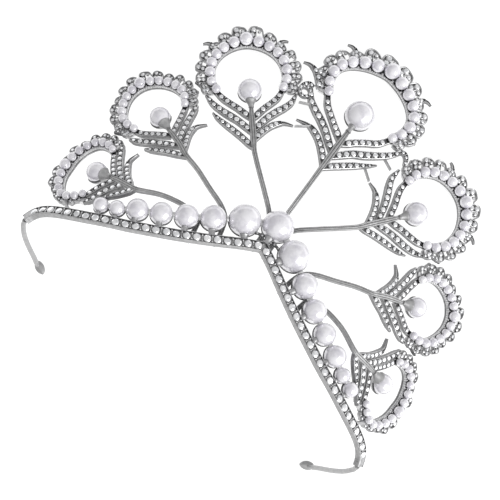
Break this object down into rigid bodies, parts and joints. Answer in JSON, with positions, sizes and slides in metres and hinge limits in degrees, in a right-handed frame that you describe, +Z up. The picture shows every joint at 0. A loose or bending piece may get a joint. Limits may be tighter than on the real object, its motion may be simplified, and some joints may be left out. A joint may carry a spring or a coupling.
{
  "type": "pearl tiara",
  "caption": "Silver-coloured tiara with peacock feathers fanned above a peaked stone-set band, pearls along the band and around each feather's eye, and plain wire ends.",
  "frame": {"origin": "centre of the footprint, on the surface that the tiara lies on", "axes": "+Z up from the surface, X across the tiara, +Y from the band towards the feather tips; the face looks up"},
  "size_m": [0.1338, 0.1235, 0.042],
  "materials": {
    "metal": "silver plate with darkened recesses, set with small clear stones",
    "wire": "satin",
    "pearl": "nacre-like gloss coat"
  },
  "bodies": {
    "root": {"band": "metal", "side_wire_left": "wire", "side_wire_right": "wire", "feather_1": "metal", "feather_2": "metal", "feather_3": "metal", "feather_4": "metal", "feather_5": "metal", "feather_6": "metal", "feather_7": "metal", "base_pearl_1": "pearl", "base_pearl_2": "pearl", "base_pearl_3": "pearl", "base_pearl_4": "pearl", "base_pearl_5": "pearl", "base_pearl_6": "pearl", "base_pearl_7": "pearl", "base_pearl_8": "pearl", "base_pearl_9": "pearl", "base_pearl_10": "pearl", "base_pearl_11": "pearl", "base_pearl_12": "pearl", "base_pearl_13": "pearl", "base_pearl_14": "pearl", "base_pearl_15": "pearl", "drop_pearl_1": "pearl", "drop_pearl_2": "pearl", "drop_pearl_3": "pearl", "drop_pearl_4": "pearl", "drop_pearl_5": "pearl", "drop_pearl_6": "pearl", "drop_pearl_7": "pearl", "eye_pearls_1": "pearl", "eye_pearls_2": "pearl", "eye_pearls_3": "pearl", "eye_pearls_4": "pearl", "eye_pearls_5": "pearl", "eye_pearls_6": "pearl", "eye_pearls_7": "pearl"}
  },
  "joints": []
}
